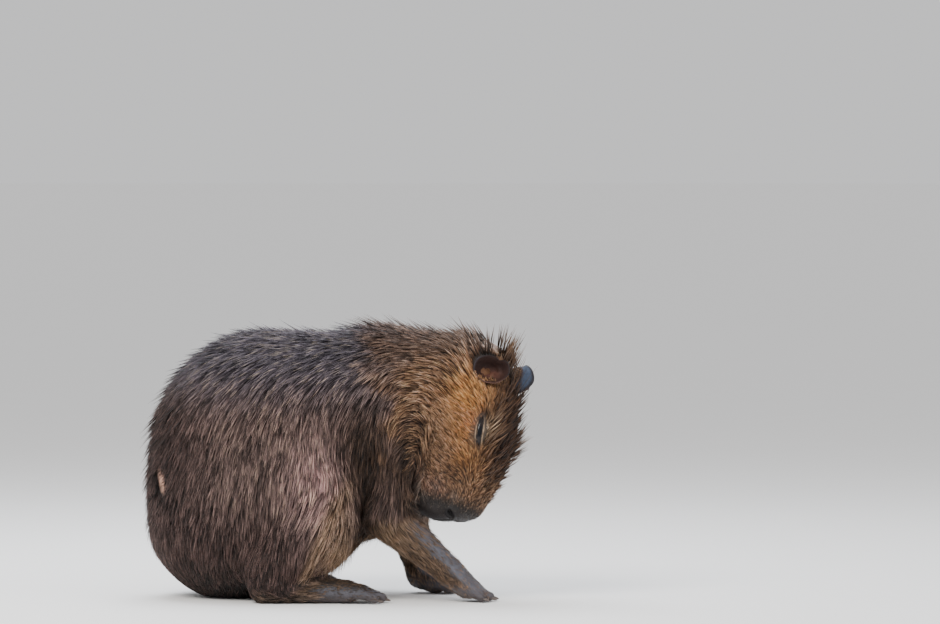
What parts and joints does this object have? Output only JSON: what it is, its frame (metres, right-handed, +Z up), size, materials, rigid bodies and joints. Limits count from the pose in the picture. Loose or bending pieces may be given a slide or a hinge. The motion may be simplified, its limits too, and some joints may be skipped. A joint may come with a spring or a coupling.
{
  "type": "capybara",
  "caption": "Life-size still model of a young adult capybara sitting on its haunches, head bowed and turned to its right, weight on its front feet.",
  "frame": {"origin": "centre of the bounding box in plan, at floor level", "axes": "+X towards the animal's front, +Y towards its left side, +Z up"},
  "size_m": [0.5798, 0.3324, 0.409],
  "materials": {
    "coat": "coarse bristly fur, dark grey-brown with tan tips",
    "head_fur": "short bristly fur, orange-brown on the cheeks, grey-black on the muzzle",
    "leg_fur": "short flat fur over grey skin",
    "ear": "bare matt skin",
    "eye": "wet gloss",
    "claw": "satin horn"
  },
  "bodies": {
    "root": {"head": "head_fur", "neck": "coat", "upper_arm_right": "coat", "haunch_right": "coat", "shank_right": "coat", "upper_arm_left": "coat", "haunch_left": "coat", "shank_left": "coat", "torso": "coat", "forearm_right": "leg_fur", "forefoot_right": "leg_fur", "claw_fore_right_1": "claw", "claw_fore_right_2": "claw", "claw_fore_right_3": "claw", "claw_fore_right_4": "claw", "forearm_left": "leg_fur", "forefoot_left": "leg_fur", "claw_fore_left_1": "claw", "claw_fore_left_2": "claw", "claw_fore_left_3": "claw", "claw_fore_left_4": "claw", "hind_foot_right": "leg_fur", "claw_hind_right_1": "claw", "claw_hind_right_2": "claw", "claw_hind_right_3": "claw", "hind_foot_left": "leg_fur", "claw_hind_left_1": "claw", "claw_hind_left_2": "claw", "claw_hind_left_3": "claw", "ear_right": "ear", "eye_right": "eye", "ear_left": "ear", "eye_left": "eye"}
  },
  "joints": []
}
